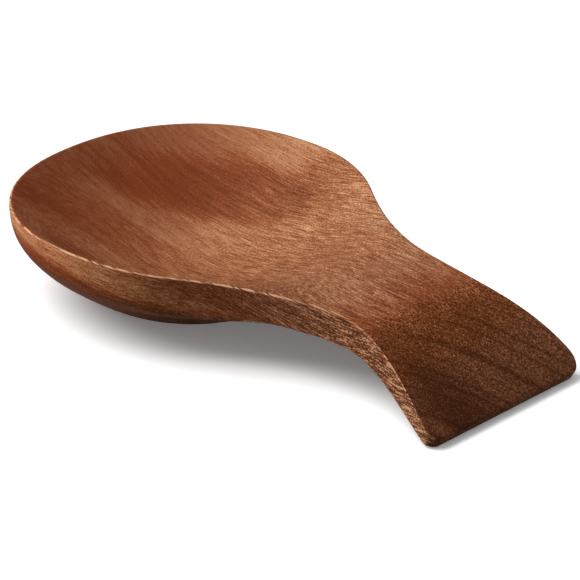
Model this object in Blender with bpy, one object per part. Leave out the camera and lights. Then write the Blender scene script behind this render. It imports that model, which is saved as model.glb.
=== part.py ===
"""Wooden spoon rest, carved from one board of acacia.

A round dish on a flat base runs without a step into a wide handle. The handle narrows to a waist,
arches clear of the table and sweeps down until its end stands on the table.

Metres, +Z up. The origin is the middle of the flat base, on the table. The handle points along +X,
and the piece is the same on both sides of the XZ plane.
"""
import math
from collections import namedtuple

import bmesh
import bpy

MM = 0.001

# Bowl
BOWL_RADIUS = 62.5 * MM
BOWL_FRONT = 64.0 * MM  # reach of the bowl away from the handle
BACK_FULLNESS = 2.05  # exponent of the outline towards the handle: 2 is round, more is squarer
FRONT_FULLNESS = 2.2
RIM_HEIGHT = 33.4 * MM
RIM_LIP = 1.1 * MM
DISH_FLOOR = 7.5 * MM  # wood left under the deepest point
DISH_REACH = 95.0 * MM  # where the dish has run out along the handle
WALL_HEIGHT = 12.6 * MM  # upright side, from the rim down to the flank
BASE_RADIUS = 32.5 * MM
FLANK_CURVE = 1.32  # 1 is a straight cone from base to wall, more bulges outwards
BELLY_RADIUS = 8.2 * MM  # easing of the bend from wall to flank

# Handle, measured along X from the middle of the bowl
SHOULDER_X = 38.2 * MM  # the bowl's outline turns into the neck here
WAIST_X = 99.0 * MM
WAIST_WIDTH = 54.4 * MM
END_X = 146.8 * MM
END_WIDTH = 76.5 * MM
END_FLARE = math.radians(9.5)  # how far the sides still spread at the end
END_CORNER = 4.8 * MM
CREST_X = 84.7 * MM  # the top edge starts to sweep down here
CREST_DROP = 4.3 * MM  # the crest lies this much below the rim
END_THICKNESS = 3.4 * MM
END_SLOPE = math.radians(45.0)  # fall of the top face at the end
END_UNDERCUT = 2.0 * MM  # the end is cut square to the falling top face
ARCH_X = 91.6 * MM
ARCH_HEIGHT = 17.6 * MM
FOOT_SLOPE = math.radians(27.5)  # fall of the underside at the foot
NECK_BLEND = 22.3 * MM  # softness of the hollow where flank and arch meet

# Edges
EDGE_RADIUS = 0.7 * MM

# Facets
FRONT_STEPS = 22
SHOULDER_STEPS = 11
HANDLE_STEPS = 28
CORNER_STEPS = 4
END_STEPS = 6
DISH_STEPS = 10
EDGE_STEPS = 3
FLANK_STEPS = 9
WELD_DISTANCE = 0.001 * MM

# Oiled acacia
WOOD_COLOUR = (0.26, 0.09, 0.04, 1.0)
WOOD_ROUGHNESS = 0.45

# A place on the outline: its point, the spot on the middle line that its rib runs to,
# and how much of the end's undercut it takes
Station = namedtuple("Station", "x y heart undercut")


def ease(x, x0, value0, slope0, x1, value1, slope1):
    """Cubic through two points with a given slope at each."""
    length = x1 - x0
    t = (x - x0) / length
    return (
        (2 * t**3 - 3 * t**2 + 1) * value0
        + (t**3 - 2 * t**2 + t) * slope0 * length
        + (3 * t**2 - 2 * t**3) * value1
        + (t**3 - t**2) * slope1 * length
    )


def smooth_min(a, b, softness):
    """The lower of two heights, with a soft hollow where they cross."""
    overlap = max(softness - abs(a - b), 0.0)
    return min(a, b) - overlap**2 / (4 * softness)


def evenly(start, stop, steps):
    """Equal steps from start up to, but not including, stop."""
    return [start + (stop - start) * i / steps for i in range(steps)]


def oval_radius(x, y):
    """Distance from the bowl's axis, counted so that the whole rim lies at BOWL_RADIUS."""
    fullness = BACK_FULLNESS
    if x < 0.0:
        fullness = FRONT_FULLNESS
        x *= BOWL_RADIUS / BOWL_FRONT
    return (abs(x) ** fullness + abs(y) ** fullness) ** (1 / fullness)


def oval_half_width(radius, x):
    """Half width of the oval of that radius at x, from its middle towards the handle."""
    return max(radius**BACK_FULLNESS - x**BACK_FULLNESS, 0.0) ** (1 / BACK_FULLNESS)


def half_width(x):
    """Half width of the plan outline from the bowl's middle to the end of the handle."""
    if x <= SHOULDER_X:
        return oval_half_width(BOWL_RADIUS, x)
    if x <= WAIST_X:
        shoulder = oval_half_width(BOWL_RADIUS, SHOULDER_X)
        shoulder_slope = -((SHOULDER_X / shoulder) ** (BACK_FULLNESS - 1))
        return ease(x, SHOULDER_X, shoulder, shoulder_slope, WAIST_X, WAIST_WIDTH / 2, 0.0)
    return ease(x, WAIST_X, WAIST_WIDTH / 2, 0.0, END_X, END_WIDTH / 2, math.tan(END_FLARE))


def edge_height(x):
    """Side view of the top edge: level rim, slight fall to the crest, sweep to the end."""
    crest = RIM_HEIGHT - CREST_DROP
    if x <= 0.0:
        return RIM_HEIGHT
    if x <= CREST_X:
        return ease(x, 0.0, RIM_HEIGHT, 0.0, CREST_X, crest, 0.0)
    return ease(x, CREST_X, crest, 0.0, END_X, END_THICKNESS, -math.tan(END_SLOPE))


def dish_depth(x):
    """Depth of the dish below the top edge, along the middle line."""
    depth = RIM_HEIGHT - DISH_FLOOR
    if x <= 0.0:
        return depth
    if x >= DISH_REACH:
        return 0.0
    return depth * math.cos(math.pi / 2 * x / DISH_REACH) ** 2


def top_height(x, spread):
    """Top face. The spread is 0 on the middle line and 1 at the inside of the lip."""
    return edge_height(x) - dish_depth(x) * (1 - min(spread, 1.0) ** 2)


def arch_height(x):
    """Side view of the underside, from the bowl over the arch to the foot.

    The foot's sharp corner lies just below the table, so that its eased edge meets it. The easing
    takes least off where a rib runs askew, which is at most halfway between end and side.
    """
    if x <= ARCH_X:
        return ARCH_HEIGHT + (RIM_HEIGHT - ARCH_HEIGHT) * ((ARCH_X - x) / ARCH_X) ** 2
    fall = math.tan(FOOT_SLOPE)
    askew_fall = fall * math.cos(math.pi / 4)
    foot_corner = -EDGE_RADIUS * askew_fall / (1 + askew_fall)
    return ease(x, ARCH_X, ARCH_HEIGHT, 0.0, END_X - END_UNDERCUT, foot_corner, -fall)


def under_height(x, y):
    """Underside: flat base, bulging flank of the bowl, and the arch under the handle."""
    rise = (oval_radius(x, y) - BASE_RADIUS) / (BOWL_RADIUS - BASE_RADIUS)
    if rise <= 0.0:
        return 0.0
    flank = (RIM_HEIGHT - WALL_HEIGHT) * rise**FLANK_CURVE
    softness = NECK_BLEND * min(rise, 1.0)
    return smooth_min(flank, arch_height(x), softness)


def lower_edge_radius(x):
    """Easing of the lower edge: a full belly round the bowl, a crisp edge along the handle."""
    if x <= 0.0:
        return BELLY_RADIUS
    if x >= CREST_X:
        return EDGE_RADIUS
    return ease(x, 0.0, BELLY_RADIUS, 0.0, CREST_X, EDGE_RADIUS, 0.0)


def half_outline():
    """Stations along one side, from the bowl's tip to the middle of the handle's end."""
    stations = []
    for angle in evenly(math.pi, math.pi / 2, FRONT_STEPS):
        reach = BOWL_RADIUS / oval_radius(math.cos(angle), math.sin(angle))
        stations.append(Station(reach * math.cos(angle), reach * math.sin(angle), 0.0, 0.0))

    corner_x = END_X - END_CORNER
    corner_y = half_width(corner_x) - END_CORNER
    pole_x = END_X - END_WIDTH / 2
    rows = evenly(0.0, BASE_RADIUS, SHOULDER_STEPS) + evenly(BASE_RADIUS, corner_x, HANDLE_STEPS)
    for x in rows:
        heart = x
        if x > WAIST_X:
            heart = WAIST_X + (pole_x - WAIST_X) * (x - WAIST_X) / (corner_x - WAIST_X)
        stations.append(Station(x, half_width(x), heart, 0.0))

    for turn in evenly(0.0, math.pi / 2, CORNER_STEPS):
        x = corner_x + END_CORNER * math.sin(turn)
        y = corner_y + END_CORNER * math.cos(turn)
        stations.append(Station(x, y, pole_x, math.sin(turn)))
    for y in evenly(corner_y, 0.0, END_STEPS) + [0.0]:
        stations.append(Station(END_X, y, pole_x, 1.0))
    return stations


def eased_corner(start, corner, end):
    """Points round an eased corner, both ends included."""
    points = []
    for i in range(EDGE_STEPS + 1):
        t = i / EDGE_STEPS
        weights = ((1 - t) ** 2, 2 * t * (1 - t), t**2)
        points.append(tuple(sum(w * v for w, v in zip(weights, axis)) for axis in zip(start, corner, end)))
    return points


def towards(x, y, heart, inset):
    """The point that lies an inset away from (x, y), on the way to the middle line at heart."""
    share = inset / math.hypot(x - heart, y)
    return x + (heart - x) * share, y * (1 - share)


def rib(station):
    """One rib: from the middle of the top face out over the edge, down the side and in to the base."""
    length = math.hypot(station.x - station.heart, station.y)
    foot_x = station.x - END_UNDERCUT * station.undercut
    under_length = math.hypot(foot_x - station.heart, station.y)

    def top(inset):
        x, y = towards(station.x, station.y, station.heart, inset)
        return x, y, top_height(x, (length - inset) / (length - RIM_LIP))

    def under(inset):
        x, y = towards(foot_x, station.y, station.heart, inset)
        return x, y, under_height(x, y)

    upper = top(0.0)
    lower = under(0.0)
    side = upper[2] - lower[2]
    upper_radius = min(EDGE_RADIUS, side / 2)
    lower_radius = min(lower_edge_radius(station.x), side - upper_radius)
    wall_top = (upper[0], upper[1], upper[2] - upper_radius)
    wall_foot = (lower[0], lower[1], lower[2] + lower_radius)

    # The rib ends on the base's outline, or behind the base on the middle line
    base = under_length
    if station.heart < BASE_RADIUS:
        bowl_width = oval_half_width(BOWL_RADIUS, station.heart)
        base -= under_length * oval_half_width(BASE_RADIUS, station.heart) / bowl_width

    brink = RIM_LIP + EDGE_RADIUS
    points = [top(inset) for inset in evenly(length, brink, DISH_STEPS) + [brink, RIM_LIP]]
    points += eased_corner(top(upper_radius), upper, wall_top)
    points += eased_corner(wall_foot, lower, under(lower_radius))
    points += [under(inset) for inset in (evenly(lower_radius, base, FLANK_STEPS) + [base])[1:]]
    return points


def carve(name, material, collection):
    """Wrap a grid of ribs round the outline, weld it and close the flat base."""
    half = [rib(station) for station in half_outline()]
    other_half = [[(x, -y, z) for x, y, z in points] for points in reversed(half[1:-1])]
    ribs = half + other_half + half[:1]

    bm = bmesh.new()
    bmesh.ops.create_grid(bm, x_segments=len(ribs[0]) - 1, y_segments=len(ribs) - 1, size=1.0)
    places = [point for points in ribs for point in points]
    for vert, place in zip(bm.verts, places):
        vert.co = place
    bmesh.ops.remove_doubles(bm, verts=bm.verts, dist=WELD_DISTANCE)
    base_edges = [edge for edge in bm.edges if edge.is_boundary]
    bmesh.ops.holes_fill(bm, edges=base_edges, sides=0)
    bmesh.ops.recalc_face_normals(bm, faces=bm.faces)

    mesh = bpy.data.meshes.new(name)
    bm.to_mesh(mesh)
    bm.free()
    mesh.materials.append(material)
    mesh.shade_smooth()
    part = bpy.data.objects.new(name, mesh)
    collection.objects.link(part)
    return part


def oiled_acacia():
    material = bpy.data.materials.new("oiled_acacia")
    material.use_nodes = True
    shader = material.node_tree.nodes["Principled BSDF"]
    shader.inputs["Base Color"].default_value = WOOD_COLOUR
    shader.inputs["Roughness"].default_value = WOOD_ROUGHNESS
    shader.inputs["Metallic"].default_value = 0.0
    return material


def main():
    for leftover in list(bpy.data.objects):
        bpy.data.objects.remove(leftover, do_unlink=True)
    collection = bpy.data.collections.new("wooden_spoon_rest")
    bpy.context.scene.collection.children.link(collection)
    carve("spoon_rest", oiled_acacia(), collection)


main()
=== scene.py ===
"""Wooden spoon rest, dressed as oiled acacia and set on a white studio table.

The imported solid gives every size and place. It is smoothed into a fine surface, and one solid wood
material, worked out in all three dimensions, gives the grain on the dish, the handle and the edges.
"""
import math

import bmesh
import bpy
from bpy.props import FloatProperty, FloatVectorProperty, IntProperty, PointerProperty
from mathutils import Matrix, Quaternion, Vector


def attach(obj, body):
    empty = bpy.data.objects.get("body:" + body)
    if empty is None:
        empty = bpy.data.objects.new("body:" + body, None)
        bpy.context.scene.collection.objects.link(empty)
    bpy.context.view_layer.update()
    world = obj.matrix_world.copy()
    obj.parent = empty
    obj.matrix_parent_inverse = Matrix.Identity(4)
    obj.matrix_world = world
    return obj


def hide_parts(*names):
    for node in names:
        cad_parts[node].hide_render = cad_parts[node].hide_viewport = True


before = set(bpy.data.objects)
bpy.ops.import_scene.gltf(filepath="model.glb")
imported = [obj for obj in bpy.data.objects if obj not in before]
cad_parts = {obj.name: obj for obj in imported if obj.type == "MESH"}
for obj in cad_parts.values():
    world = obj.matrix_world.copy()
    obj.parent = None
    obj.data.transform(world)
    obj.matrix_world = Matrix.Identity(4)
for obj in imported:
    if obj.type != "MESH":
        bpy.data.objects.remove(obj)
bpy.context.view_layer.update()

bl_info = {
    "name": "Wooden Spoon Rest",
    "version": (1, 0, 0),
    "blender": (4, 5, 0),
    "location": "View3D > Sidebar > Spoon Rest",
    "description": "Carves the spoon rest's fine surface, finishes it in oiled acacia and lights it",
    "category": "Object",
}

MM = 0.001
NODE = "spoon_rest"
PIECE = "carved_spoon_rest"
SLOT = "oiled_acacia"

# Carving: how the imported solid's triangles become a surface that smooths well
WELD_DISTANCE = 0.002 * MM
QUAD_BEND = math.radians(40)  # triangles that bend less than this are joined into quads
QUAD_SKEW = math.radians(70)  # and a quad's corners stray at most this far from square

# How far a normal points up, from 0 for level to 1 for straight up
EDGE_TILT = 0.92  # less than this on a rounded edge
LIP_TILT = 0.95  # more than this on the flat lip beside it
FLANK_TILT = 0.5  # less than this, up or down, on a flank

# The log that the board came from, in millimetres and radians. X runs along its pith, which lies in
# front of the rest and below it, and sinks away from the board towards the handle's end.
OFF_PITH = (0.0, 60.5, 15.5)  # how far the rest lies behind the pith and above it
PITH_SLOPE = (0.0, -0.1, 0.0)
ACROSS_PITH = (0.0, 1.0, 1.0)
WANDER = (0.0, 9.0, 9.0)  # how far the rings wander
WANDER_LENGTH = 55.0
ARC_RADIUS = 70.0  # the turn round the pith is counted as an arc of this radius

# Figure of the wood: its size in millimetres along the grain, across the rings and round them, the
# detail of its noise and how far it swings the tone. Real bands and vessels are finer. They are drawn
# this coarse so that they show.
FIGURE = {
    "ribbons": ((150.0, 9.0, 40.0), 1.0, 0.14),
    "streaks": ((60.0, 1.8, 10.0), 2.0, 0.22),
    "bands": ((9.0, 0.42, 2.4), 1.0, 1.25),
    "vessels": ((0.95, 0.33, 0.37), 1.0, 1.2),
}
NOISE_MIDDLE = 0.5

# Tone of the wood, from 0 for dark to 1 for pale: a start, plus the tone from the pith outwards, plus
# the tone along the log. Each of those two is a list of millimetres and tones, which stay above 0 as a
# colour ramp needs. The start takes the surplus off again.
MID_TONE = 0.5
TONE_START = -0.3
TONES = {
    "ring": (
        # The first two ring stops darken the foot of the bowl's front wall next to the table: painted shade
        (38.0, 0.08), (43.0, 0.28), (48.0, 0.58), (51.0, 0.58), (56.0, 0.46), (62.0, 0.52),
        (75.0, 0.6), (92.0, 0.6), (108.0, 0.65), (118.0, 0.66), (127.0, 0.76), (140.0, 0.72),
    ),
    "along": (
        (-60.0, 0.32), (-35.0, 0.31), (-10.0, 0.33), (8.0, 0.27), (20.0, 0.235),
        (35.0, 0.15), (66.0, 0.19), (85.0, 0.23), (97.0, 0.19), (108.0, 0.21),
    ),
}

# The looks below change from place to place. Each change has its limits, and a limit names a place,
# where the change starts there and where it is full. The places in millimetres are:
# along, from the middle of the bowl down the log towards the handle's end
# back, from the pith away from the front
# ring, from the pith outwards
# drift, outwards too, but at a slant along the log, as stains go that cross the rings
# fringe, along the log too, but frayed by the streaks
# The others run from 0 to 1: flank for how upright a face is, wear, veins and each figure of the wood.
DRIFT_SLANT = -0.46
FRINGE_LENGTH = 10.0
VEIN_SPACING = 8.0
TOP = ("flank", 0.6, 0.2)
SIDE = ("flank", 0.2, 0.6)
SOFT_SIDE = ("flank", 0.1, 0.5)
BOWL = ("along", 75.0, 45.0)
BOWL_TIP = ("along", -10.0, -45.0)

# Stains in the heartwood, by which the tone darkens or pales, together with painted light and shade in some
# places
STAINS_AND_PAINTED_LIGHT = (
    # Crest of the handle
    (-0.04, (("along", 70.0, 100.0), ("ring", 78.0, 94.0), TOP)),
    # Dark end of the handle: a heartwood stain, and painted shade where the top turns away from the light
    # past the crest, with a crisp edge in front and a soft one at the back
    (-0.09, (("fringe", 100.0, 116.0), TOP)),
    (-0.15, (("fringe", 106.0, 109.5), ("back", 86.0, 58.0), TOP)),
    (-0.08, (("fringe", 104.0, 118.0), ("back", 60.0, 84.0), TOP)),
    (-0.06, (("along", 104.0, 116.0), ("back", 33.0, 42.0), TOP)),
    (-0.16, (("along", 114.0, 130.0), ("ring", 78.0, 62.0), ("back", 33.0, 42.0), TOP)),
    (0.06, (("along", 120.0, 136.0), ("ring", 68.0, 80.0), TOP)),
    (-0.2, (("fringe", 110.0, 122.0), TOP, ("veins", 0.5, 0.54), ("veins", 0.6, 0.56))),
    # Painted shade on the flank of the handle from the neck on, and painted light that makes the upright
    # wall of the bowl paler
    (-0.13, (SIDE, ("along", 50.0, 90.0))),
    (0.15, (SOFT_SIDE, ("ring", 43.0, 48.0), ("along", 60.0, 30.0))),
    # Stain across the dish, its dark heart and its outer side
    (-0.27, (("drift", 95.0, 107.0), ("drift", 137.0, 123.0),
             ("along", -80.0, -22.0), ("along", 24.0, 0.0), TOP)),
    (-0.06, (("drift", 104.0, 114.0), ("drift", 132.0, 122.0),
             ("along", -52.0, -36.0), ("along", 0.0, -18.0), TOP)),
    (-0.05, (("drift", 124.0, 138.0), ("along", 0.0, -25.0), TOP)),
    # Pale patch in the bottom of the dish: a painted sheen
    (0.06, (("drift", 76.0, 84.0), ("drift", 96.0, 88.0),
            ("along", -30.0, -12.0), ("along", 10.0, -4.0), TOP)),
    # Dark and pale stretch of the dish's back wall
    (-0.07, (("ring", 112.0, 122.0), ("along", -5.0, 15.0), ("along", 34.0, 22.0), TOP)),
    (0.07, (("ring", 106.0, 116.0), ("along", 24.0, 34.0), ("along", 62.0, 46.0), TOP)),
)

# Looks that run evenly along the log, with their changes
LOOKS = {
    # Strength of the fine grain: faint at the bowl's tip, bold on the flank of the handle
    "grain": (
        {"From Min": -45.0, "From Max": 25.0, "To Min": 0.25, "To Max": 1.0},
        (
            (-0.15, (SIDE, ("along", 55.0, 35.0))),
            (0.35, (SIDE, ("along", 25.0, -25.0))),
            (1.7, (("flank", 0.2, 0.8), ("along", 50.0, 110.0))),
        ),
    ),
    # Hue, where 0.5 keeps the colour: redder at the bowl's tip and on the crest, more golden elsewhere
    "hue": (
        {"From Min": -50.0, "From Max": 25.0, "To Min": 0.494, "To Max": 0.505},
        (
            (-0.005, (SOFT_SIDE, BOWL)),
            (0.009, (SOFT_SIDE, BOWL_TIP)),
            (-0.007, (("along", 78.0, 95.0), ("along", 116.0, 104.0), TOP)),
        ),
    ),
    # Saturation, where 1 keeps the colour
    "richness": (
        {"From Min": 45.0, "From Max": -40.0, "To Min": 0.98, "To Max": 1.06},
        (
            (0.06, (SOFT_SIDE, BOWL)),
            (-0.07, (SOFT_SIDE, BOWL_TIP)),
            # Richer colour in the same painted shade at the foot of the bowl's wall
            (0.03, (("ring", 47.0, 40.0), BOWL)),
            (0.065, (("along", 82.0, 100.0), ("along", 134.0, 118.0), TOP)),
        ),
    ),
}

# The handle's end cuts the vessels across, so the grain is weaker there in lines and stronger in dots
END_CUT = (("fringe", 104.0, 110.0), TOP)
END_LINES = -0.6
END_DOTS = 0.8

# The front edge is painted paler, in dashes: partly wood rubbed pale by hands and spoons, partly a painted
# highlight along the rim
RUBBED_AND_HIGHLIT = (("wear_and_highlight", 0.8, 1.0), ("back", 45.0, 30.0), ("along", 145.0, 128.0), ("bands", 0.34, 0.6))

# Surface: the oil has sunk in, so the sheen is low, and the open vessels are duller still
OIL_IOR = 1.48
OIL_SHEEN = 0.12  # the shader's own is 0.5
VESSEL_RANGE = (0.6, 0.35)  # noise from where a vessel starts to where it is full
VESSEL_ROUGHNESS = 0.15
VESSEL_DEPTH = 0.15 * MM
VESSEL_RELIEF = 0.25

# Stage, in metres
TABLE_REACH = 6.0
CAMERA_REACH = 20.0


def linear(code):
    """A hex colour in sRGB as linear red, green and blue, with an alpha of 1."""
    values = [int(code[i : i + 2], 16) / 255 for i in (1, 3, 5)]
    return tuple(v / 12.92 if v <= 0.04045 else ((v + 0.055) / 1.055) ** 2.4 for v in values) + (1.0,)


def add_node(tree, kind, inputs=None, **settings):
    """Add a node, set its properties, and give its inputs a value or another node's socket."""
    node = tree.nodes.new(kind)
    for name, value in settings.items():
        setattr(node, name, value)
    for name, value in (inputs or {}).items():
        if isinstance(value, bpy.types.NodeSocket):
            tree.links.new(value, node.inputs[name])
        else:
            node.inputs[name].default_value = value
    return node


def change_inside(tree, places, value, changes):
    """Add each change to a value, growing smoothly to its full size inside all of its limits."""
    for change, limits in changes:
        for name, start, end in limits:
            share = add_node(
                tree,
                "ShaderNodeMapRange",
                {"Value": places[name], "From Min": start, "From Max": end},
                interpolation_type="SMOOTHSTEP",
            ).outputs["Result"]
            change = add_node(
                tree, "ShaderNodeMath", {0: share, 1: change}, operation="MULTIPLY"
            ).outputs[0]
        value = add_node(tree, "ShaderNodeMath", {0: value, 1: change}, operation="ADD").outputs[0]
    return value


class SpoonRestCarving(bpy.types.PropertyGroup):
    """How finely the surface is carved, and what counts as a worn edge."""

    levels: IntProperty(
        name="Smoothing",
        description="Subdivision levels of the carved surface",
        default=2,
        min=0,
        max=3,
    )
    # Edges past this bend are rubbed pale, and at the front they also carry a painted highlight
    wear_bend: FloatProperty(
        name="Wear",
        description="Bend above which an edge wears",
        default=math.radians(28),
        subtype="ANGLE",
    )


class SpoonRestWood(bpy.types.PropertyGroup):
    """Colours and finish of the wood."""

    dark_colour: FloatVectorProperty(
        name="Dark wood",
        description="Darkest tone of the wood",
        default=linear("#481E06"),
        size=4,
        subtype="COLOR",
    )
    mid_colour: FloatVectorProperty(
        name="Wood",
        description="Middle tone of the wood",
        default=linear("#8A4D30"),
        size=4,
        subtype="COLOR",
    )
    pale_colour: FloatVectorProperty(
        name="Pale wood",
        description="Palest tone of the wood",
        default=linear("#C4946E"),
        size=4,
        subtype="COLOR",
    )
    # Pale worn wood, which also serves as the painted highlight along the front edge
    worn_and_highlight_colour: FloatVectorProperty(
        name="Worn edge",
        description="Pale wood along the rubbed edges",
        default=linear("#D2A27E"),
        size=4,
        subtype="COLOR",
    )
    roughness: FloatProperty(
        name="Roughness",
        description="Roughness of the oiled surface",
        default=0.72,
        min=0.0,
        max=1.0,
        subtype="FACTOR",
    )


class SpoonRestStage(bpy.types.PropertyGroup):
    """Camera, light and table."""

    azimuth: FloatProperty(
        name="Azimuth",
        description="Turn of the camera from the front towards the handle's end",
        default=math.radians(44.07),
        subtype="ANGLE",
    )
    elevation: FloatProperty(
        name="Elevation",
        description="Height of the camera over the table, as an angle",
        default=math.radians(25.84),
        subtype="ANGLE",
    )
    roll: FloatProperty(
        name="Roll",
        description="Tilt of the camera about its view",
        default=math.radians(-0.37),
        subtype="ANGLE",
    )
    distance: FloatProperty(
        name="Distance",
        description="From the camera to what it looks at",
        default=1.302,
        unit="LENGTH",
    )
    target: FloatVectorProperty(
        name="Target",
        description="The point in the middle of the picture",
        default=(0.0606, -0.015, 0.0223),
        subtype="TRANSLATION",
        unit="LENGTH",
    )
    lens: FloatProperty(
        name="Lens",
        description="Focal length in millimetres",
        default=238.1,
        unit="CAMERA",
    )
    key_direction: FloatVectorProperty(
        name="Key light",
        description="Where the soft main light comes from",
        default=(-0.57, -0.33, 0.76),
        subtype="DIRECTION",
    )
    key_strength: FloatProperty(
        name="Key strength",
        description="Strength of the main light",
        default=2.6,
    )
    key_angle: FloatProperty(
        name="Key softness",
        description="Apparent width of the main light",
        default=math.radians(50),
        subtype="ANGLE",
    )
    side_direction: FloatVectorProperty(
        name="Side light",
        description="Where the low second light comes from",
        default=(-0.72, -0.65, 0.2),
        subtype="DIRECTION",
    )
    side_strength: FloatProperty(
        name="Side strength",
        description="Strength of the second light",
        default=1.8,
    )
    side_angle: FloatProperty(
        name="Side softness",
        description="Apparent width of the second light",
        default=math.radians(30),
        subtype="ANGLE",
    )
    fill_strength: FloatProperty(
        name="Fill strength",
        description="Light from straight above",
        default=0.5,
    )
    fill_floor: FloatProperty(
        name="Horizon strength",
        description="Light from the horizon",
        default=0.06,
    )
    table_colour: FloatVectorProperty(
        name="Table",
        description="Colour of the table in the light that it throws back",
        default=linear("#6C6C6C"),
        size=4,
        subtype="COLOR",
    )
    table_bleach: FloatProperty(
        name="Table bleach",
        description="How much brighter than it is the table shows, as in a photograph exposed for the wood",
        default=8.2,
    )


def find_in_log(tree):
    """Where the surface lies in the log: its places there, and its position along the grain."""
    surface = add_node(tree, "ShaderNodeTexCoord").outputs["Object"]
    log = add_node(
        tree,
        "ShaderNodeMapping",
        {"Vector": surface, "Location": OFF_PITH, "Rotation": PITH_SLOPE, "Scale": (1 / MM,) * 3},
    ).outputs[0]
    wander = add_node(
        tree, "ShaderNodeTexNoise", {"Vector": log, "Scale": 1 / WANDER_LENGTH, "Detail": 1.0}
    ).outputs["Color"]
    bent = add_node(
        tree, "ShaderNodeVectorMath", {0: wander, 1: WANDER, 2: log}, operation="MULTIPLY_ADD"
    ).outputs[0]
    along, back, up = add_node(tree, "ShaderNodeSeparateXYZ", {0: bent}).outputs
    section = add_node(
        tree, "ShaderNodeVectorMath", {0: bent, 1: ACROSS_PITH}, operation="MULTIPLY"
    ).outputs[0]
    ring = add_node(tree, "ShaderNodeVectorMath", {0: section}, operation="LENGTH").outputs["Value"]
    turn = add_node(tree, "ShaderNodeMath", {0: up, 1: back}, operation="ARCTAN2").outputs[0]
    arc = add_node(tree, "ShaderNodeMath", {0: turn, 1: ARC_RADIUS}, operation="MULTIPLY").outputs[0]
    grain = add_node(tree, "ShaderNodeCombineXYZ", {"X": along, "Y": ring, "Z": arc}).outputs[0]
    return {"along": along, "back": back, "ring": ring}, grain


def grow_figure(tree, grain):
    """Noise for each figure of the wood, stretched along the grain."""
    figure = {}
    for name, (size, detail, _) in FIGURE.items():
        stretched = add_node(
            tree, "ShaderNodeVectorMath", {0: grain, 1: size}, operation="DIVIDE"
        ).outputs[0]
        figure[name] = add_node(
            tree, "ShaderNodeTexNoise", {"Vector": stretched, "Scale": 1.0, "Detail": detail}
        ).outputs["Fac"]
    return figure


def find_stains(tree, places):
    """Places that the stains, the painted light and shade and the wear go by."""
    drift = add_node(
        tree,
        "ShaderNodeMath",
        {0: places["along"], 1: DRIFT_SLANT, 2: places["ring"]},
        operation="MULTIPLY_ADD",
    ).outputs[0]
    fringe = add_node(
        tree,
        "ShaderNodeMath",
        {0: places["streaks"], 1: FRINGE_LENGTH, 2: places["along"]},
        operation="MULTIPLY_ADD",
    ).outputs[0]
    veins = add_node(
        tree,
        "ShaderNodeTexNoise",
        {"W": drift, "Scale": 1 / VEIN_SPACING, "Detail": 0.0},
        noise_dimensions="1D",
    ).outputs["Fac"]
    found = {"drift": drift, "fringe": fringe, "veins": veins}
    for name in ("flank", "wear_and_highlight"):
        found[name] = add_node(tree, "ShaderNodeAttribute", attribute_name=name).outputs["Fac"]
    return found


def tone_of_log(tree, places):
    """Tone of the wood before any stain or figure."""
    tone = TONE_START
    for name, stops in TONES.items():
        first = stops[0][0]
        last = stops[-1][0]
        reach = add_node(
            tree, "ShaderNodeMapRange", {"Value": places[name], "From Min": first, "From Max": last}
        ).outputs["Result"]
        ramp = add_node(tree, "ShaderNodeValToRGB", {"Fac": reach})
        ramp.color_ramp.interpolation = "EASE"
        points = ramp.color_ramp.elements
        for point, (_, level) in zip(points, (stops[0], stops[-1])):
            point.color = (level, level, level, 1.0)
        for distance, level in stops[1:-1]:
            point = points.new((distance - first) / (last - first))
            point.color = (level, level, level, 1.0)
        tone = add_node(
            tree, "ShaderNodeMath", {0: ramp.outputs["Color"], 1: tone}, operation="ADD"
        ).outputs[0]
    return tone


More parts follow.
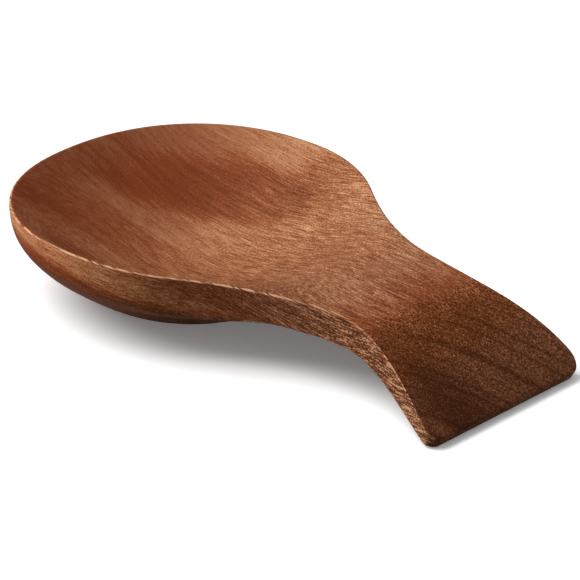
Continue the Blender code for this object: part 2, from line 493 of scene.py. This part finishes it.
def oiled_acacia(wood):
    """Acacia heartwood, carved, sanded and oiled.

    The eye sees red-brown ribbons and streaks along the grain, darker stains across the dish, a dark
    handle's end that is stain and painted shade, a pale front edge that is wear and a painted highlight,
    and open vessels, as dark dashes where the surface runs along the grain and as dots where it is cut
    across. Painted light also pales the bowl's outer wall and the bottom of the dish, and painted shade
    darkens the handle's flank and the foot of the bowl's wall. The oil has sunk in and leaves a low, soft
    sheen.
    """
    material = bpy.data.materials.new(SLOT)
    material.use_nodes = True
    tree = material.node_tree
    shader = tree.nodes["Principled BSDF"]
    shader.inputs["IOR"].default_value = OIL_IOR
    shader.inputs["Specular IOR Level"].default_value = OIL_SHEEN

    places, grain = find_in_log(tree)
    places.update(grow_figure(tree, grain))
    places.update(find_stains(tree, places))
    looks = {}
    for name, (slope, changes) in LOOKS.items():
        even = add_node(tree, "ShaderNodeMapRange", {"Value": places["along"], **slope}).outputs["Result"]
        looks[name] = change_inside(tree, places, even, changes)

    tone = change_inside(tree, places, tone_of_log(tree, places), STAINS_AND_PAINTED_LIGHT)
    strengths = {
        "ribbons": 1.0,
        "streaks": 1.0,
        "bands": change_inside(tree, places, looks["grain"], ((END_LINES, END_CUT),)),
        "vessels": change_inside(tree, places, looks["grain"], ((END_DOTS, END_CUT),)),
    }
    for name, (_, _, share) in FIGURE.items():
        swing = add_node(
            tree, "ShaderNodeMath", {0: places[name], 1: NOISE_MIDDLE}, operation="SUBTRACT"
        ).outputs[0]
        swing = add_node(
            tree, "ShaderNodeMath", {0: swing, 1: strengths[name]}, operation="MULTIPLY"
        ).outputs[0]
        tone = add_node(
            tree, "ShaderNodeMath", {0: swing, 1: share, 2: tone}, operation="MULTIPLY_ADD"
        ).outputs[0]

    ramp = add_node(tree, "ShaderNodeValToRGB", {"Fac": tone})
    points = ramp.color_ramp.elements
    points[0].color = wood.dark_colour
    points[1].color = wood.pale_colour
    points.new(MID_TONE).color = wood.mid_colour
    heartwood = add_node(
        tree,
        "ShaderNodeHueSaturation",
        {"Hue": looks["hue"], "Saturation": looks["richness"], "Color": ramp.outputs["Color"]},
    ).outputs[0]
    # Pale front edge: rubbed wood and a painted highlight
    rubbed_and_highlit = change_inside(tree, places, 0.0, ((1.0, RUBBED_AND_HIGHLIT),))
    # The mix's sockets go by number, because their names repeat: share, two colours and the result
    colour = add_node(
        tree, "ShaderNodeMix", {0: rubbed_and_highlit, 6: heartwood, 7: wood.worn_and_highlight_colour}, data_type="RGBA"
    ).outputs[2]
    tree.links.new(colour, shader.inputs["Base Color"])

    roughness = add_node(
        tree,
        "ShaderNodeMapRange",
        {
            "Value": places["vessels"],
            "From Min": VESSEL_RANGE[0],
            "From Max": VESSEL_RANGE[1],
            "To Min": wood.roughness,
            "To Max": wood.roughness + VESSEL_ROUGHNESS,
        },
    ).outputs["Result"]
    tree.links.new(roughness, shader.inputs["Roughness"])
    bump = add_node(
        tree,
        "ShaderNodeBump",
        {"Height": places["vessels"], "Strength": VESSEL_RELIEF, "Distance": VESSEL_DEPTH},
    ).outputs["Normal"]
    tree.links.new(bump, shader.inputs["Normal"])
    return material


class SPOONREST_OT_carve(bpy.types.Operator):
    """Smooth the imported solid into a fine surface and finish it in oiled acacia"""

    bl_idname = "spoon_rest.carve"
    bl_label = "Carve Spoon Rest"

    def execute(self, context):
        carving = context.scene.spoon_rest_carving
        mesh = bpy.data.meshes.new(PIECE)
        bm = bmesh.new()
        bm.from_mesh(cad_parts[NODE].data)
        bmesh.ops.remove_doubles(bm, verts=bm.verts, dist=WELD_DISTANCE)
        bmesh.ops.join_triangles(
            bm, faces=bm.faces, angle_face_threshold=QUAD_BEND, angle_shape_threshold=QUAD_SKEW
        )
        bm.normal_update()
        self.mark_flank_and_edges(bm, carving.wear_bend)
        bm.to_mesh(mesh)
        bm.free()
        mesh.shade_smooth()
        mesh.materials.append(oiled_acacia(context.scene.spoon_rest_wood))
        piece = bpy.data.objects.new(PIECE, mesh)
        context.scene.collection.objects.link(piece)
        smoothing = piece.modifiers.new("smoothing", "SUBSURF")
        smoothing.levels = carving.levels
        smoothing.render_levels = carving.levels
        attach(piece, "root")
        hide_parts(NODE)
        return {"FINISHED"}

    def mark_flank_and_edges(self, bm, wear_bend):
        """Store how upright the surface is, and which edges stand out, for the pale wear and painted
        highlight on them.
        """
        flank = bm.verts.layers.float.new("flank")
        wear_and_highlight = bm.verts.layers.float.new("wear_and_highlight")
        sharp = {
            vert
            for vert in bm.verts
            if vert.normal.z < EDGE_TILT
            and max(edge.calc_face_angle(0.0) for edge in vert.link_edges) > wear_bend
        }
        for vert in bm.verts:
            beside_sharp = any(edge.other_vert(vert) in sharp for edge in vert.link_edges)
            lip = vert.normal.z > LIP_TILT and beside_sharp
            vert[flank] = max(0.0, 1.0 - abs(vert.normal.z) / FLANK_TILT)
            vert[wear_and_highlight] = float(vert in sharp or lip)


class SPOONREST_OT_stage(bpy.types.Operator):
    """Set the table, the light and the camera"""

    bl_idname = "spoon_rest.stage"
    bl_label = "Set Stage"

    def execute(self, context):
        scene = context.scene
        stage = scene.spoon_rest_stage
        self.lay_table(scene, stage)
        self.hang_lamps(scene, stage)
        self.light_room(scene, stage)
        self.aim_camera(scene, stage)
        scene.view_settings.view_transform = "Standard"
        return {"FINISHED"}

    def lay_table(self, scene, stage):
        """Lay a table in matt paint.

        Seen directly or in a reflection, it is bleached white and only its shadow stays grey. The light
        that it throws back on the wood is that of its own colour.
        """
        material = bpy.data.materials.new("matt_painted_table")
        material.use_nodes = True
        tree = material.node_tree
        tree.nodes.clear()
        path = add_node(tree, "ShaderNodeLightPath").outputs
        seen = path["Is Camera Ray"]
        for ray in ("Is Glossy Ray", "Is Transmission Ray"):
            seen = add_node(tree, "ShaderNodeMath", {0: seen, 1: path[ray]}, operation="MAXIMUM").outputs[0]
        bleach = add_node(
            tree,
            "ShaderNodeMath",
            {0: seen, 1: stage.table_bleach - 1.0, 2: 1.0},
            operation="MULTIPLY_ADD",
        ).outputs[0]
        colour = add_node(
            tree, "ShaderNodeVectorMath", {0: stage.table_colour[:3], "Scale": bleach}, operation="SCALE"
        ).outputs[0]
        paint = add_node(tree, "ShaderNodeBsdfDiffuse", {"Color": colour}).outputs[0]
        add_node(tree, "ShaderNodeOutputMaterial", {"Surface": paint})

        mesh = bpy.data.meshes.new("table")
        bm = bmesh.new()
        bmesh.ops.create_grid(bm, x_segments=1, y_segments=1, size=TABLE_REACH)
        bm.to_mesh(mesh)
        bm.free()
        mesh.materials.append(material)
        table = bpy.data.objects.new("table", mesh)
        scene.collection.objects.link(table)

    def hang_lamps(self, scene, stage):
        """Hang the soft key lamp, and a side lamp that stands for a low reflector and throws no shadow."""
        lamps = (
            ("key", stage.key_direction, stage.key_strength, stage.key_angle, True),
            ("side", stage.side_direction, stage.side_strength, stage.side_angle, False),
        )
        for name, direction, strength, angle, throws_shadow in lamps:
            light = bpy.data.lights.new(name, "SUN")
            light.energy = strength
            light.angle = angle
            light.use_shadow = throws_shadow
            lamp = bpy.data.objects.new(name, light)
            lamp.rotation_euler = Vector(direction).to_track_quat("Z", "Y").to_euler()
            scene.collection.objects.link(lamp)

    def light_room(self, scene, stage):
        """Light the room broadly and softly from above, with a dim horizon."""
        world = bpy.data.worlds.new("studio")
        world.use_nodes = True
        tree = world.node_tree
        background = tree.nodes["Background"]
        background.inputs["Color"].default_value = (1.0, 1.0, 1.0, 1.0)
        sky = add_node(tree, "ShaderNodeTexCoord").outputs["Generated"]
        height = add_node(tree, "ShaderNodeSeparateXYZ", {0: sky}).outputs["Z"]
        strength = add_node(
            tree,
            "ShaderNodeMapRange",
            {"Value": height, "To Min": stage.fill_floor, "To Max": stage.fill_strength},
        ).outputs["Result"]
        tree.links.new(strength, background.inputs["Strength"])
        scene.world = world

    def aim_camera(self, scene, stage):
        """Set the camera at its angle and distance from the target."""
        direction = Vector(
            (
                math.sin(stage.azimuth) * math.cos(stage.elevation),
                -math.cos(stage.azimuth) * math.cos(stage.elevation),
                math.sin(stage.elevation),
            )
        )
        camera = bpy.data.objects.new("camera", bpy.data.cameras.new("camera"))
        camera.data.lens = stage.lens
        camera.data.clip_end = CAMERA_REACH
        camera.location = Vector(stage.target) + direction * stage.distance
        turn = direction.to_track_quat("Z", "Y") @ Quaternion((0.0, 0.0, 1.0), stage.roll)
        camera.rotation_euler = turn.to_euler()
        scene.collection.objects.link(camera)
        scene.camera = camera


class SPOONREST_PT_panel(bpy.types.Panel):
    """Lists the settings and the operators in the sidebar"""

    bl_idname = "SPOONREST_PT_panel"
    bl_label = "Spoon Rest"
    bl_space_type = "VIEW_3D"
    bl_region_type = "UI"
    bl_category = "Spoon Rest"

    def draw(self, context):
        scene = context.scene
        for settings in (scene.spoon_rest_carving, scene.spoon_rest_wood, scene.spoon_rest_stage):
            box = self.layout.box()
            for name in settings.bl_rna.properties.keys():
                if name not in ("rna_type", "name"):
                    box.prop(settings, name)
        self.layout.operator(SPOONREST_OT_carve.bl_idname)
        self.layout.operator(SPOONREST_OT_stage.bl_idname)


CLASSES = (
    SpoonRestCarving,
    SpoonRestWood,
    SpoonRestStage,
    SPOONREST_OT_carve,
    SPOONREST_OT_stage,
    SPOONREST_PT_panel,
)


def register():
    for cls in CLASSES:
        bpy.utils.register_class(cls)
    bpy.types.Scene.spoon_rest_carving = PointerProperty(type=SpoonRestCarving)
    bpy.types.Scene.spoon_rest_wood = PointerProperty(type=SpoonRestWood)
    bpy.types.Scene.spoon_rest_stage = PointerProperty(type=SpoonRestStage)


def unregister():
    del bpy.types.Scene.spoon_rest_stage
    del bpy.types.Scene.spoon_rest_wood
    del bpy.types.Scene.spoon_rest_carving
    for cls in reversed(CLASSES):
        bpy.utils.unregister_class(cls)


def main():
    register()
    bpy.ops.spoon_rest.carve()
    bpy.ops.spoon_rest.stage()


if __name__ == "__main__":
    main()
